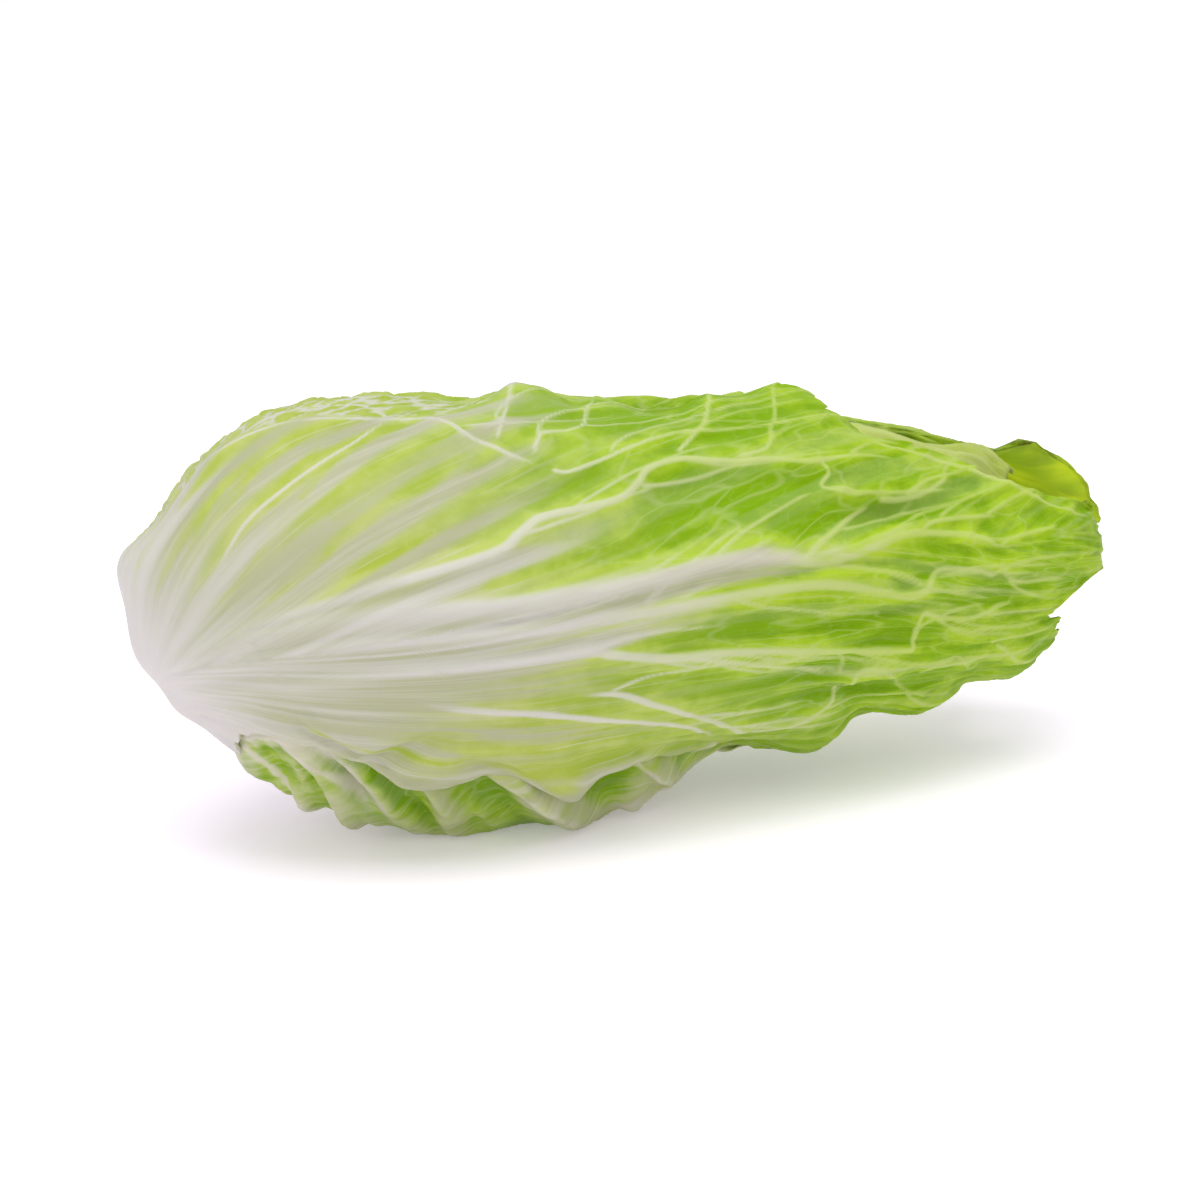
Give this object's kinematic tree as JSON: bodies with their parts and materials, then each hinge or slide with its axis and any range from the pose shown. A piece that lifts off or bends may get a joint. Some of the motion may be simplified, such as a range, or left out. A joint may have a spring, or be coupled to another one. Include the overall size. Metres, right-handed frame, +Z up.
{
  "type": "romaine lettuce head",
  "caption": "Long barrel-shaped head of romaine lettuce lying on its side: bent, ribbed leaves nested round a short cut stem, white at the butt and green towards the tips.",
  "frame": {"origin": "middle of the head's footprint, on the surface it lies on", "axes": "+X along the head from the cut butt to the leaf tips, +Z up"},
  "size_m": [0.2526, 0.1034, 0.1036],
  "materials": {
    "stem": "moist cut stem flesh, cream with a tan rim and a ring of darker vascular dots",
    "front_leaf": "waxy leaf, smooth white ribs at the base turning to veined, blistered light green",
    "outer_leaf": "waxy leaf, white ribs and mid green blade with ruffled margins",
    "middle_leaf": "soft leaf, pale yellow green with white ribs",
    "heart_leaf": "tender leaf, pale yellow with white ribs"
  },
  "bodies": {
    "root": {"stem": "stem", "outer_leaf_01": "front_leaf", "outer_leaf_02": "outer_leaf", "outer_leaf_03": "outer_leaf", "outer_leaf_04": "outer_leaf", "outer_leaf_05": "outer_leaf", "outer_leaf_06": "outer_leaf", "middle_leaf_01": "middle_leaf", "middle_leaf_02": "middle_leaf", "middle_leaf_03": "middle_leaf", "middle_leaf_04": "middle_leaf", "middle_leaf_05": "middle_leaf", "middle_leaf_06": "middle_leaf", "middle_leaf_07": "middle_leaf", "heart_leaf_01": "heart_leaf", "heart_leaf_02": "heart_leaf", "heart_leaf_03": "heart_leaf", "heart_leaf_04": "heart_leaf", "heart_leaf_05": "heart_leaf", "heart_leaf_06": "heart_leaf", "heart_leaf_07": "heart_leaf", "heart_leaf_08": "heart_leaf", "heart_leaf_09": "heart_leaf", "heart_leaf_10": "heart_leaf"}
  },
  "joints": []
}
